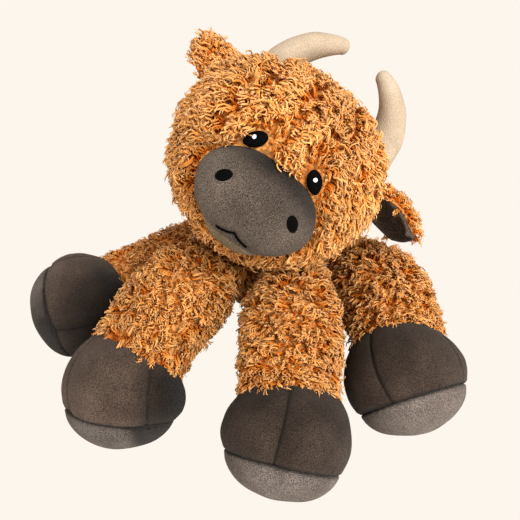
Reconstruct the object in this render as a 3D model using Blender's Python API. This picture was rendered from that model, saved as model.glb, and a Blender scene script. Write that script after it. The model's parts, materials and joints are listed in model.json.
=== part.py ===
"""Plush highland cow, sitting on its rump with its legs forward and its head tilted.

Every panel of the toy is its own object: long-pile covers, short-pile hooves, horns
and muzzle, stitched features, and the filling inside them. X is across the toy, the
toy faces -Y, and Z is up. The origin is the middle of the flat under its rump.
"""

from math import cos, pi, radians, sin, sqrt

import bmesh
import bpy
from mathutils import Matrix, Vector

# Cloth and seams, in metres
long_pile_wall = 0.0040
short_pile_wall = 0.0025
seam_gap = 0.0003
filling_gap = 0.0012
flat_depth = 0.0005
floor_thickness = 0.0300

# Body
body_length = 0.1100
body_width = 0.0950
body_depth = 0.1000
body_taper_share = 0.22
body_lean = radians(16)

# Head
head_radius = 0.0700
crown_flat_share = 0.17
neck_sink = 0.0110
head_shift = 0.0115
head_turn = radians(17.5)
head_pitch = radians(30)
head_roll = radians(36)

# Muzzle and chin
muzzle_half_width = 0.0420
muzzle_half_height = 0.0305
muzzle_half_depth = 0.0290
muzzle_forward = 0.0550
muzzle_drop = 0.0300
chin_half_width = 0.0240
chin_half_height = 0.0150
chin_half_depth = 0.0200
chin_forward = 0.0500
chin_drop = 0.0500

# Stitched features
eye_half_length = 0.0072
eye_half_width = 0.0048
eye_swell = 0.0020
eye_spread = 0.0215
eye_rise = 0.0010
eye_slant = radians(45)
highlight_radius = 0.0018
highlight_swell = 0.0009
highlight_rise = 0.0014
nostril_half_length = 0.0052
nostril_half_width = 0.0036
nostril_swell = 0.0014
nostril_spread = 0.0250
nostril_rise = 0.0030
nostril_slant = radians(40)
mouth_thread_radius = 0.0008
mouth_half_width = 0.0110
mouth_peak = 0.0022
mouth_above_edge = 0.0045
mouth_stitch_count = 8

# Horns
horn_spread = 0.0001
horn_shift = 0.0070
horn_rise = 0.0469
horn_arc = 0.0462
horn_base_radius = 0.0135
horn_middle_radius = 0.0112
horn_tip_radius = 0.0062
horn_start = radians(-14)
horn_end = radians(67)
horn_setback = 0.0020

# Ears
ear_length = 0.0420
ear_start = 0.0020
ear_root_arch = 0.0185
ear_mid_arch = 0.0200
ear_tip_arch = 0.0105
ear_arch_angle = radians(62)
ear_cloth = 0.0026
ear_layer_gap = 0.0006
ear_knob_radius = 0.0088
ear_knob_outset = 0.0042
ear_knob_share = 0.70
ear_corner_share = 0.20

# Legs
root_radius = 0.0250
leg_radius = 0.0355
pressed_leg_radius = 0.0315
hem_radius = 0.0335
front_leg_length = 0.1100
hind_leg_length = 0.1060
front_root_outset = 0.0095
hind_root_outset = 0.0240

# Hooves
hoof_radius = 0.0425
hoof_hem_radius = 0.0345
hoof_length = 0.0660
sole_seam_radius = 0.0390
sole_dome = 0.0240
gore_dip_share = 0.045

# Tail
tail_length = 0.0450
tail_radius = 0.0065
tail_root_radius = 0.0085
tuft_length = 0.0300
tuft_radius = 0.0125
tail_root_share = 0.40
tail_outset = 0.0035
tail_fall = radians(30)

# Faces round and along the forms
body_sides = 24
head_sides = 28
leg_sides = 20
muzzle_sides = 20
filling_sides = 12
small_sides = 12
stitch_sides = 10

# Where each leg springs from the body, how it lies to its hoof, and where its sole faces.
# Turns are measured outwards from straight ahead, falls downwards from level. The hind leg
# on the right lies under a front leg, which presses it thinner.
leg_plans = {
    "front_leg_left": dict(
        side=1, turn_at_body=radians(38), height_share=0.73,
        outset=front_root_outset, length=front_leg_length, radius=leg_radius,
        start_turn=radians(11), end_turn=radians(14), end_fall=radians(26),
        sole_turn=radians(1), sole_fall=radians(38),
    ),
    "front_leg_right": dict(
        side=-1, turn_at_body=radians(38), height_share=0.73,
        outset=front_root_outset, length=front_leg_length, radius=leg_radius,
        start_turn=radians(18), end_turn=radians(15), end_fall=radians(31),
        sole_turn=radians(-5), sole_fall=radians(51),
    ),
    "hind_leg_left": dict(
        side=1, turn_at_body=radians(100), height_share=0.34,
        outset=hind_root_outset, length=hind_leg_length, radius=leg_radius,
        start_turn=radians(37), end_turn=radians(18), end_fall=radians(14),
        sole_turn=radians(36), sole_fall=radians(31),
    ),
    "hind_leg_right": dict(
        side=-1, turn_at_body=radians(100), height_share=0.34,
        outset=hind_root_outset, length=hind_leg_length, radius=pressed_leg_radius,
        start_turn=radians(21), end_turn=radians(33), end_fall=radians(-3),
        sole_turn=radians(66), sole_fall=radians(13),
    ),
}

# Where each ear is sewn on the head's side, how it points from there, and how its crest leans back.
ear_plans = {
    "right": dict(
        side=-1, rise=radians(19), set_back=radians(20),
        lift=radians(36), sweep=radians(26), lean_back=radians(-30),
    ),
    "left": dict(
        side=1, rise=radians(14), set_back=radians(5),
        lift=radians(-5), sweep=0, lean_back=radians(26),
    ),
}

# Colours as linear red, green and blue
colours = {
    "caramel_pile": (0.50, 0.19, 0.045),
    "charcoal_plush": (0.075, 0.055, 0.045),
    "sole_plush": (0.135, 0.115, 0.105),
    "muzzle_plush": (0.135, 0.105, 0.085),
    "chin_plush": (0.26, 0.20, 0.11),
    "cream_plush": (0.80, 0.70, 0.54),
    "lining_plush": (0.035, 0.022, 0.016),
    "black_thread": (0.008, 0.008, 0.009),
    "white_thread": (0.85, 0.85, 0.83),
    "white_filling": (0.78, 0.77, 0.74),
}
thread_roughness = 0.60
cloth_roughness = 0.95


def clear_scene():
    for old in list(bpy.data.objects):
        bpy.data.objects.remove(old, do_unlink=True)


def cloth(name):
    """The material of one cloth, thread or filling, made once."""
    found = bpy.data.materials.get(name)
    if found:
        return found
    made = bpy.data.materials.new(name)
    made.use_nodes = True
    shader = made.node_tree.nodes["Principled BSDF"]
    shader.inputs["Base Color"].default_value = (*colours[name], 1)
    shader.inputs["Roughness"].default_value = thread_roughness if "thread" in name else cloth_roughness
    shader.inputs["Metallic"].default_value = 0
    made.diffuse_color = (*colours[name], 1)
    return made


def new_object(name, bm, material_name=None, parent=None):
    """A smooth-shaded object from a bmesh whose points are in its parent's frame."""
    bmesh.ops.recalc_face_normals(bm, faces=bm.faces)
    mesh = bpy.data.meshes.new(name)
    bm.to_mesh(mesh)
    bm.free()
    mesh.shade_smooth()
    made = bpy.data.objects.new(name, mesh)
    bpy.context.collection.objects.link(made)
    if material_name:
        mesh.materials.append(cloth(material_name))
    made.parent = parent
    return made


def new_cutter(name, bm, parent=None):
    made = new_object(name, bm, parent=parent)
    made.hide_render = True
    made.display_type = "WIRE"
    return made


def new_pivot(name, place, parent=None):
    """An empty on a joint's axis, which carries one moving part of the toy."""
    made = bpy.data.objects.new(name, None)
    bpy.context.collection.objects.link(made)
    made.parent = parent
    made.matrix_basis = place
    made.empty_display_size = head_radius
    return made


def combine(piece, other, operation):
    made = piece.modifiers.new(operation.lower(), "BOOLEAN")
    made.operation = operation
    made.solver = "EXACT"
    made.object = other


def give_wall(piece, wall):
    """Turns a closed outer surface into cloth of the given thickness."""
    made = piece.modifiers.new("wall", "SOLIDIFY")
    made.thickness = wall
    made.offset = -1
    made.use_even_offset = True


def ellipsoid(half_x, half_y, half_z, sides, centre=(0, 0, 0)):
    bm = bmesh.new()
    bmesh.ops.create_uvsphere(bm, u_segments=sides, v_segments=sides // 2, radius=1)
    bmesh.ops.scale(bm, vec=(half_x, half_y, half_z), verts=bm.verts)
    bmesh.ops.translate(bm, vec=centre, verts=bm.verts)
    return bm


def new_socket(name, centre, radius, sides, parent=None):
    """A cutter for the seat of a ball-ended part, which clears it all round by the seam's gap."""
    size = (radius + seam_gap) / cos(pi / sides) ** 2
    return new_cutter(name, ellipsoid(size, size, size, sides, centre), parent)


def frame_along(centre, direction, up=Vector((0, 0, 1))):
    """A matrix at centre whose Z runs along direction, with Y as near to up as it can be."""
    along = direction.normalized()
    side = up.cross(along).normalized()
    turned = Matrix((side, along.cross(side), along)).transposed().to_4x4()
    return Matrix.Translation(centre) @ turned


def sized(place, radius):
    return place @ Matrix.Diagonal((radius, radius, radius, 1))


def ring_skin(rings, sides, closed=True, dip_share=0):
    """A skin through rings, each a matrix that places and sizes a unit circle.

    A closed skin has a cap at each end. Otherwise its last ring joins its first, as on a
    tube with a wall. A dip share draws the skin in along four lengthwise seams.
    """
    bm = bmesh.new()
    bmesh.ops.create_circle(bm, segments=sides, radius=1, cap_ends=False)
    for vert in bm.verts:
        across, over = vert.co.x, vert.co.y
        vert.co *= 1 - dip_share * abs(across ** 2 - over ** 2) ** 8
    first = list(bm.edges)
    front = first
    bmesh.ops.transform(bm, matrix=rings[0], verts=bm.verts)
    for before, after in zip(rings, rings[1:]):
        grown = bmesh.ops.extrude_edge_only(bm, edges=front)["geom"]
        verts = [item for item in grown if isinstance(item, bmesh.types.BMVert)]
        kept = set(verts)
        front = [
            item for item in grown
            if isinstance(item, bmesh.types.BMEdge) and all(vert in kept for vert in item.verts)
        ]
        bmesh.ops.transform(bm, matrix=after @ before.inverted(), verts=verts)
    if closed:
        bmesh.ops.contextual_create(bm, geom=first)
        bmesh.ops.contextual_create(bm, geom=front)
    else:
        bmesh.ops.bridge_loops(bm, edges=first + front)
    return bm


def swell(start, middle, end, share):
    """A size that runs smoothly from start, through middle halfway, to end."""
    before = (1 - share) * (1 - 2 * share)
    halfway = 4 * share * (1 - share)
    after = share * (2 * share - 1)
    return start * before + middle * halfway + end * after


def ease(share):
    return share * share * (3 - 2 * share)


def leg_swell(fullest, share):
    """A leg's radius: it leaves its root gently, is fullest halfway and then runs to its hem."""
    if share < 0.5:
        return root_radius + (fullest - root_radius) * ease(2 * share)
    return fullest + (hem_radius - fullest) * ease(2 * share - 1)


def heading(turn, fall):
    """The direction that runs turn outwards from straight ahead and falls below level."""
    return Vector((sin(turn) * cos(fall), -cos(turn) * cos(fall), -sin(fall)))


def hang_from(carrier, bm):
    """Moves points from the toy's frame into their carrier's."""
    bmesh.ops.transform(bm, matrix=carrier.matrix_basis.inverted(), verts=bm.verts)
    return bm


# Body

def body_frame():
    """The body's own directions: Z runs up its back from its lowest point to the neck."""
    return Matrix.Rotation(body_lean, 4, "X")


def body_taper(height_share):
    return 1 - body_taper_share * (height_share - 0.5)


def body_form(inset, rest=Vector((0, 0, 0))):
    """The body's swollen form, or that of its filling, set in by inset."""
    half = body_length / 2
    bm = ellipsoid(body_width / 2 - inset, body_depth / 2 - inset, half - inset, body_sides)
    for vert in bm.verts:
        taper = body_taper(vert.co.z / body_length + 0.5)
        vert.co.x *= taper
        vert.co.y *= taper
    bmesh.ops.translate(bm, vec=(0, 0, half), verts=bm.verts)
    bmesh.ops.transform(bm, matrix=body_frame(), verts=bm.verts)
    bmesh.ops.translate(bm, vec=rest, verts=bm.verts)
    return bm


def body_rest():
    """The shift that brings the body's lowest point to the origin, flat_depth under the floor."""
    bm = body_form(0)
    lowest = min(bm.verts, key=lambda vert: vert.co.z).co.copy()
    bm.free()
    return Vector((0, -lowest.y, -lowest.z - flat_depth))


def body_point(turn, height_share, outset):
    """A point outset from the body's surface, turned round it from straight ahead."""
    rise = 2 * height_share - 1
    across = sqrt(1 - rise * rise) * body_taper(height_share)
    local = Vector((
        sin(turn) * (body_width / 2 * across + outset),
        -cos(turn) * (body_depth / 2 * across + outset),
        body_length * height_share,
    ))
    return body_frame() @ local + body_rest()


def head_centre():
    above = body_frame() @ Vector((0, 0, body_length + head_radius - neck_sink))
    return above + body_rest() + Vector((head_shift, 0, 0))


def make_body(root_pivots, tail_pivot, floor):
    rest = body_rest()
    cover = new_object("body_cover", body_form(0, rest), "caramel_pile")
    give_wall(cover, long_pile_wall)
    filling = new_object("body_filling", body_form(long_pile_wall + filling_gap, rest), "white_filling")
    seats = [new_socket("neck_seat", head_centre(), head_radius, head_sides)]
    for name, carrier in root_pivots.items():
        seats.append(new_socket(name + "_seat", carrier.matrix_basis.translation, root_radius, leg_sides))
    seats.append(new_socket("tail_seat", tail_pivot.matrix_basis.translation, tail_root_radius, small_sides))
    for seat in seats:
        combine(cover, seat, "DIFFERENCE")
        combine(filling, seat, "DIFFERENCE")
    combine(cover, floor, "DIFFERENCE")


def make_floor():
    """What presses the toy flat where it rests."""
    reach = (body_length + front_leg_length + hoof_length) * 2
    bm = bmesh.new()
    bmesh.ops.create_cube(bm, size=1)
    bmesh.ops.scale(bm, vec=(reach, reach, floor_thickness), verts=bm.verts)
    bmesh.ops.translate(bm, vec=(0, 0, -floor_thickness / 2), verts=bm.verts)
    return new_cutter("floor_cutter", bm)


# Head

def head_place():
    """The head's frame: it faces its own -Y, with its crown at its own +Z."""
    turned = (
        Matrix.Rotation(head_turn, 4, "Z") @ Matrix.Rotation(-head_pitch, 4, "X")
        @ Matrix.Rotation(head_roll, 4, "Y")
    )
    return Matrix.Translation(head_centre()) @ turned


def head_form(radius, sides):
    """A ball whose crown, between the horns, is flatter than the rest."""
    bm = ellipsoid(radius, radius, radius, sides)
    for vert in bm.verts:
        if vert.co.z > 0:
            vert.co.z *= 1 - crown_flat_share * (vert.co.z / radius) ** 2
    return bm


def on_head(across, up):
    """A point of the head's front, across and up as seen from before it."""
    ahead = sqrt(head_radius ** 2 - across ** 2 - up ** 2)
    return Vector((across, -ahead, up))


def on_muzzle(across, up, out):
    """A point out from the muzzle's front, and the direction that the cloth faces there."""
    spare = 1 - (across / muzzle_half_width) ** 2 - (up / muzzle_half_height) ** 2
    ahead = sqrt(spare) * muzzle_half_depth
    facing = Vector((
        across / muzzle_half_width ** 2, -ahead / muzzle_half_depth ** 2, up / muzzle_half_height ** 2,
    )).normalized()
    return Vector((across, -muzzle_forward - ahead, up - muzzle_drop)) + facing * out, facing


def muzzle_form(inset):
    return ellipsoid(
        muzzle_half_width - inset, muzzle_half_depth - inset, muzzle_half_height - inset,
        muzzle_sides, (0, -muzzle_forward, -muzzle_drop),
    )


def patch_form(centre, facing, slant, half_length, half_width, rise):
    bm = ellipsoid(half_length, half_width, rise, stitch_sides)
    place = frame_along(centre, facing) @ Matrix.Rotation(slant, 4, "Z")
    bmesh.ops.transform(bm, matrix=place, verts=bm.verts)
    return bm


def make_head_seat(head):
    """The form that everything sewn on the head takes its back from."""
    return new_cutter("head_seat", head_form(head_radius + seam_gap, head_sides), head)


def make_head_cover(head, ear_pivots):
    cover = new_object("head_cover", head_form(head_radius, head_sides), "caramel_pile", head)
    give_wall(cover, long_pile_wall)
    opening = new_cutter("muzzle_opening", muzzle_form(short_pile_wall), head)
    combine(cover, opening, "DIFFERENCE")
    for name, carrier in ear_pivots.items():
        knob_at = carrier.matrix_basis.translation
        seat = new_socket("ear_seat_" + name, knob_at, ear_knob_radius, small_sides, head)
        combine(cover, seat, "DIFFERENCE")

    inner = head_radius - long_pile_wall - filling_gap
    filling = new_object("head_filling", head_form(inner, body_sides), "white_filling", head)
    into_muzzle = new_cutter("muzzle_fill", muzzle_form(short_pile_wall + filling_gap), head)
    combine(filling, into_muzzle, "UNION")


def make_muzzle(head, head_seat):
    muzzle = new_object("muzzle_cover", muzzle_form(0), "muzzle_plush", head)
    give_wall(muzzle, short_pile_wall)
    combine(muzzle, head_seat, "DIFFERENCE")

    muzzle_seat = new_cutter("muzzle_seat", muzzle_form(-seam_gap), head)
    chin_form = ellipsoid(
        chin_half_width, chin_half_depth, chin_half_height, small_sides, (0, -chin_forward, -chin_drop),
    )
    chin = new_object("chin_panel", chin_form, "chin_plush", head)
    combine(chin, head_seat, "DIFFERENCE")
    combine(chin, muzzle_seat, "DIFFERENCE")

    for side, name in ((-1, "right"), (1, "left")):
        centre, facing = on_muzzle(side * nostril_spread, nostril_rise, 0)
        form = patch_form(
            centre, facing, -side * nostril_slant, nostril_half_length, nostril_half_width, nostril_swell,
        )
        nostril = new_object("nostril_" + name, form, "black_thread", head)
        combine(nostril, muzzle_seat, "DIFFERENCE")


def make_mouth(head):
    """One line of stitches along the muzzle's lower edge, with a small peak in the middle."""
    path = bpy.data.curves.new("mouth_stitch", "CURVE")
    path.dimensions = "3D"
    path.bevel_depth = mouth_thread_radius
    path.bevel_resolution = 1
    path.use_fill_caps = True
    spline = path.splines.new("POLY")
    spline.points.add(mouth_stitch_count)
    for index, point in enumerate(spline.points):
        share = 2 * index / mouth_stitch_count - 1
        up = mouth_above_edge - muzzle_half_height + mouth_peak * (1 - abs(share)) ** 2
        place = on_muzzle(share * mouth_half_width, up, mouth_thread_radius + seam_gap)[0]
        point.co = (*place, 1)
    made = bpy.data.objects.new("mouth_stitch", path)
    bpy.context.collection.objects.link(made)
    path.materials.append(cloth("black_thread"))
    made.parent = head


def make_eyes(head, head_seat):
    for side, name in ((-1, "right"), (1, "left")):
        centre = on_head(side * eye_spread, eye_rise)
        facing = centre.normalized()
        slant = -side * eye_slant
        eye = new_object(
            "eye_" + name, patch_form(centre, facing, slant, eye_half_length, eye_half_width, eye_swell),
            "black_thread", head,
        )
        combine(eye, head_seat, "DIFFERENCE")
        seat_form = patch_form(
            centre, facing, slant,
            eye_half_length + seam_gap, eye_half_width + seam_gap, eye_swell + seam_gap,
        )
        eye_seat = new_cutter("highlight_seat_" + name, seat_form, head)
        glint = on_head(side * eye_spread, eye_rise + highlight_rise)
        top = glint + facing * eye_swell
        highlight_form = patch_form(top, facing, 0, highlight_radius, highlight_radius, highlight_swell)
        highlight = new_object("eye_highlight_" + name, highlight_form, "white_thread", head)
        combine(highlight, eye_seat, "DIFFERENCE")


# Horns

def horn_rings(side, inset, tip_inset):
    """Rings along a horn's arc, from inside the head to its rounded tip."""
    steps = 6
    tip_steps = 2
    rings = []
    upright = Vector((0, 1, 0))
    for index in range(steps + 1):
        share = index / steps
        turn = horn_start + (horn_end - horn_start) * share
        centre = Vector((
            horn_shift + side * (horn_spread + horn_arc * cos(turn)), horn_setback,
            horn_rise + horn_arc * sin(turn),
        ))
        along = Vector((-side * sin(turn), 0, cos(turn)))
        radius = swell(horn_base_radius, horn_middle_radius, horn_tip_radius, share) - inset
        rings.append(sized(frame_along(centre, along, upright), radius))
    for index in range(1, tip_steps + 1):
        turn = index / (tip_steps + 1) * pi / 2
        reach = (horn_tip_radius - tip_inset) * sin(turn)
        place = frame_along(centre + along * reach, along, upright)
        rings.append(sized(place, radius * cos(turn)))
    return rings


def make_horns(head, head_seat):
    stuffed = short_pile_wall + filling_gap
    for side, name in ((-1, "right"), (1, "left")):
        wall = horn_rings(side, short_pile_wall, short_pile_wall)[::-1] + horn_rings(side, 0, 0)
        cover = new_object("horn_cover_" + name, ring_skin(wall, small_sides), "cream_plush", head)
        filling_form = ring_skin(horn_rings(side, stuffed, stuffed), small_sides)
        filling = new_object("horn_filling_" + name, filling_form, "white_filling", head)
        combine(cover, head_seat, "DIFFERENCE")
        combine(filling, head_seat, "DIFFERENCE")


# Ears

def sideways(side, rise, back):
    """A direction out to one side of the head, raised and turned towards its back."""
    return Vector((side * cos(rise) * cos(back), sin(back), sin(rise) * cos(back)))


def ear_place(plan):
    """An ear's frame on the head: X runs out along it, and Z is the crest of its furry side."""
    out = sideways(plan["side"], plan["rise"], plan["set_back"])
    along = sideways(plan["side"], plan["lift"], plan["sweep"])
    crest = Vector((0, sin(plan["lean_back"]), cos(plan["lean_back"])))
    crest = (crest - along * crest.dot(along)).normalized()
    turned = Matrix((along, crest.cross(along), crest)).transposed().to_4x4()
    return Matrix.Translation(out * (head_radius + ear_knob_outset)) @ turned


def ear_leaf(inner, outer):
    """One layer of the ear: cloth arched over its length, between two distances from its middle.

    The crest of its root enters the knob, so that the two are one piece.
    """
    middle = ear_knob_radius * ear_knob_share - ear_root_arch
    bm = bmesh.new()
    bmesh.ops.create_grid(bm, x_segments=6, y_segments=7, size=1)
    grown = bmesh.ops.extrude_face_region(bm, geom=list(bm.faces))["geom"]
    under = {item for item in grown if isinstance(item, bmesh.types.BMVert)}
    for vert in bm.verts:
        share = (vert.co.x + 1) / 2
        across = vert.co.y
        arch = swell(ear_root_arch, ear_mid_arch, ear_tip_arch, share)
        turn = across * ear_arch_angle
        corner = 1 - ear_corner_share * abs(share * across) ** 3
        along = ear_start + (ear_length - ear_start) * share * corner
        out = arch + (inner if vert in under else outer)
        vert.co = Vector((along, out * sin(turn), out * cos(turn) + middle))
    return bm


def make_ears(ear_pivots):
    parting = ear_layer_gap / 2
    for name, carrier in ear_pivots.items():
        back_form = ear_leaf(parting, parting + ear_cloth)
        back = new_object("ear_back_" + name, back_form, "caramel_pile", carrier)
        knob_form = ellipsoid(ear_knob_radius, ear_knob_radius, ear_knob_radius, small_sides)
        knob = new_cutter("ear_knob_" + name, knob_form, carrier)
        combine(back, knob, "UNION")
        lining_form = ear_leaf(-parting - ear_cloth, -parting)
        lining = new_object("ear_lining_" + name, lining_form, "lining_plush", carrier)
        knob_seat = new_socket("ear_knob_seat_" + name, (0, 0, 0), ear_knob_radius, small_sides, carrier)
        combine(lining, knob_seat, "DIFFERENCE")


# Legs and hooves

def hoof_profile():
    """Distance from the hem and radius, along the gored upper and then over the domed sole."""
    seam_at = hoof_length - sole_dome
    upper_steps = 5
    dome_steps = 3
    upper = []
    for index in range(upper_steps + 1):
        share = index / upper_steps
        upper.append((seam_at * share, swell(hoof_hem_radius, hoof_radius, sole_seam_radius, share)))
    sole = []
    for index in range(dome_steps + 1):
        turn = index / (dome_steps + 0.5) * pi / 2
        sole.append((seam_at + sole_dome * sin(turn), sole_seam_radius * cos(turn)))
    return upper, sole


def sole_lining(sole, inset):
    """The sole's profile, drawn in by inset all over."""
    seam_at = sole[0][0]
    flatter = (sole_dome - inset) / sole_dome
    slimmer = (sole_seam_radius - inset) / sole_seam_radius
    return [(seam_at + (at - seam_at) * flatter, radius * slimmer) for at, radius in sole]


def hoof_ring(hem, end, sole_way, at, radius):
    """A ring of a hoof, which bends from its leg's direction at the hem to its sole's at the seam."""
    seam_at = hoof_length - sole_dome
    share = min(1, at / seam_at)
    bent = share * share / 2
    centre = hem + (end * (share - bent) + sole_way * bent) * seam_at + sole_way * max(0, at - seam_at)
    return sized(frame_along(centre, end * (1 - share) + sole_way * share), radius)


def hoof_rings(run, profile, inset, shift=0):
    hem, end, sole_way = run["hem"], run["end"], run["sole_way"]
    return [hoof_ring(hem, end, sole_way, at + shift, radius - inset) for at, radius in profile]


def hem_height(end, sole_way):
    """The height of a hoof's hem at which its lowest point is flat_depth under the floor."""
    upper, sole = hoof_profile()
    run = dict(hem=Vector(), end=end, sole_way=sole_way)
    hoof = ring_skin(hoof_rings(run, upper + sole[1:], 0), leg_sides, dip_share=gore_dip_share)
    lowest = min(vert.co.z for vert in hoof.verts)
    hoof.free()
    return -lowest - flat_depth


def leg_run(plan):
    """One leg's root, bend and hem, and the directions in which its hem and its sole face."""
    half = plan["length"] / 2
    root = body_point(plan["turn_at_body"], plan["height_share"], plan["outset"])
    end = heading(plan["end_turn"], plan["end_fall"])
    sole_way = heading(plan["sole_turn"], plan["sole_fall"])
    bend = root + heading(plan["start_turn"], 0) * half
    bend.z = hem_height(end, sole_way) - end.z * half
    mirror = Matrix.Diagonal((plan["side"], 1, 1))
    run = dict(root=root, bend=bend, hem=bend + end * half, end=end, sole_way=sole_way)
    return {name: mirror @ value for name, value in run.items()}


def leg_rings(run, fullest, inset):
    """Rings from the rounded root, along the bent leg, to the hem."""
    rings = []
    root, bend, end = run["root"], run["bend"], run["end"]
    hem = run["hem"] - end * seam_gap / 2
    start = (bend - root).normalized()
    round_steps = 3
    steps = 6
    radius = root_radius - inset
    for index in range(1, round_steps + 1):
        turn = index / (round_steps + 1) * pi / 2
        place = frame_along(root - start * radius * cos(turn), start)
        rings.append(sized(place, radius * sin(turn)))
    for index in range(steps + 1):
        share = index / steps
        rest = 1 - share
        centre = root * rest * rest + bend * 2 * rest * share + hem * share * share
        along = start * rest + end * share
        rings.append(sized(frame_along(centre, along), leg_swell(fullest, share) - inset))
    return rings


def make_leg(name, plan, carrier, floor):
    run = leg_run(plan)
    upper, sole = hoof_profile()
    parting = seam_gap / 2

    fullest = plan["radius"]
    cover_rings = leg_rings(run, fullest, long_pile_wall) + leg_rings(run, fullest, 0)[::-1]
    cover_form = ring_skin(cover_rings, leg_sides)
    new_object(name + "_cover", hang_from(carrier, cover_form), "caramel_pile", carrier)

    walls = []
    for inset in (0, short_pile_wall):
        wall = hoof_rings(run, upper, inset)
        wall[0] = hoof_rings(run, upper[:1], inset, parting)[0]
        wall[-1] = hoof_rings(run, upper[-1:], inset, -parting)[0]
        walls.append(wall)
    upper_form = ring_skin(walls[0] + walls[1][::-1], leg_sides, closed=False, dip_share=gore_dip_share)
    hoof_upper = new_object(name + "_hoof_upper", hang_from(carrier, upper_form), "charcoal_plush", carrier)
    combine(hoof_upper, floor, "DIFFERENCE")

    domes = []
    for inset in (0, short_pile_wall):
        domes.append(hoof_rings(run, sole_lining(sole, inset), 0, parting))
    sole_form = ring_skin(domes[1][::-1] + domes[0], leg_sides, dip_share=gore_dip_share)
    hoof_sole = new_object(name + "_hoof_sole", hang_from(carrier, sole_form), "sole_plush", carrier)
    combine(hoof_sole, floor, "DIFFERENCE")

    stuffed = short_pile_wall + filling_gap
    filling_rings = leg_rings(run, fullest, long_pile_wall + filling_gap)
    filling_rings += hoof_rings(run, upper[:1], stuffed, parting + filling_gap * 2)
    filling_rings += hoof_rings(run, upper[2:-1:2], stuffed)
    filling_rings += hoof_rings(run, sole_lining(sole, stuffed), 0, -parting)
    filling_form = ring_skin(filling_rings, filling_sides, dip_share=gore_dip_share)
    new_object(name + "_filling", hang_from(carrier, filling_form), "white_filling", carrier)


# Tail

def make_tail(carrier):
    """The tail lies back from the rump, and its tuft follows it."""
    back = Vector((0, cos(tail_fall), -sin(tail_fall)))
    root = carrier.matrix_basis.translation
    round_steps = 4
    steps = 5
    rings = []
    for index in range(1, round_steps + 1):
        turn = index / (round_steps + 1) * pi / 2
        place = frame_along(root - back * tail_root_radius * cos(turn), back)
        rings.append(sized(place, tail_root_radius * sin(turn)))
    for index in range(steps + 1):
        share = index / steps
        radius = tail_radius + (tail_root_radius - tail_radius) * (1 - share) ** 3
        rings.append(sized(frame_along(root + back * tail_length * share, back), radius))
    cover = ring_skin(rings, small_sides)
    new_object("tail_cover", hang_from(carrier, cover), "caramel_pile", carrier)

    start = root + back * (tail_length + seam_gap)
    tuft_steps = 7
    tuft_rings = []
    for index in range(tuft_steps + 1):
        share = index / tuft_steps
        radius = swell(tail_radius, tuft_radius, tail_radius / 2, share)
        tuft_rings.append(sized(frame_along(start + back * tuft_length * share, back), radius))
    tuft = ring_skin(tuft_rings, small_sides)
    new_object("tail_tuft", hang_from(carrier, tuft), "caramel_pile", carrier)


def main():
    clear_scene()
    floor = make_floor()

    root_pivots = {}
    for name, plan in leg_plans.items():
        root_pivots[name] = new_pivot(name + "_pivot", Matrix.Translation(leg_run(plan)["root"]))
        make_leg(name, plan, root_pivots[name], floor)

    tail_root = body_point(pi, tail_root_share, tail_outset)
    tail_pivot = new_pivot("tail_pivot", Matrix.Translation(tail_root))
    make_tail(tail_pivot)
    make_body(root_pivots, tail_pivot, floor)

    head = new_pivot("head_pivot", head_place())
    head_seat = make_head_seat(head)
    ear_pivots = {}
    for hand, plan in ear_plans.items():
        ear_pivots[hand] = new_pivot("ear_pivot_" + hand, ear_place(plan), head)
    make_head_cover(head, ear_pivots)
    make_muzzle(head, head_seat)
    make_mouth(head)
    make_eyes(head, head_seat)
    make_horns(head, head_seat)
    make_ears(ear_pivots)


main()
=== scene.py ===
"""Plush highland cow, sitting with its legs forward and its head tilted.

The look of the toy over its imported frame: long wavy pile on the body, head, legs, ears
and tail, short nap on the muzzle, hooves and horns, and stitched eyes, nostrils and mouth.
Sizes are in metres. The toy faces -Y and stands on Z 0.
"""

import json
from math import cos, exp, pi, radians, sin, sqrt

import bmesh
import bpy
import numpy as np
from mathutils import Matrix, Vector, noise


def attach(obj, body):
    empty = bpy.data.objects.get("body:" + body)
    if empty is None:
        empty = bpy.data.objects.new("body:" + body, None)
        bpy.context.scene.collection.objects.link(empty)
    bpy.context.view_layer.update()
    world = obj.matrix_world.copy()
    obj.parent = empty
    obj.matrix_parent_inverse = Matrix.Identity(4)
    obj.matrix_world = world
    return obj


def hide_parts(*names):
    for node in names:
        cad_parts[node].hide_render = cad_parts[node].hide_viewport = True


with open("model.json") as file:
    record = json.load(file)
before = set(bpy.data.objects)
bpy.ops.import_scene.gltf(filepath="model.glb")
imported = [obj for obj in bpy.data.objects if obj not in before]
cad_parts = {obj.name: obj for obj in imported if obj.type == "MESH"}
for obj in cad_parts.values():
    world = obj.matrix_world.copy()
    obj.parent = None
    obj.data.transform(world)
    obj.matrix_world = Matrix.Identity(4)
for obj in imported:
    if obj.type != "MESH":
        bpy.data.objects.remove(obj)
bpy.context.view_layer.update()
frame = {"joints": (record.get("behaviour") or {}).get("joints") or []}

# Body
body_length = 0.1100
body_width = 0.0950
body_depth = 0.1000
body_taper = 0.22
body_lean = radians(16)
body_shift = Vector((0, 0.0143, 0.0016))

# The egg inside the body in which no leg grows pile
bare_middle = (0, 0, 0.054)
bare_half = (0.040, 0.040, 0.050)

# Head
head_radius = 0.0690
crown_flat_share = 0.17
head_turn = radians(17.5)
head_pitch = radians(30)
head_roll = radians(36)

# Muzzle and chin, in the head's own frame
muzzle_half = Vector((0.0425, 0.0290, 0.0310))
muzzle_forward = 0.0555
muzzle_drop = 0.0300
chin_half = Vector((0.0250, 0.0200, 0.0155))
chin_forward = 0.0500
chin_drop = 0.0500
muzzle_softness = 0.0008

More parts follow.
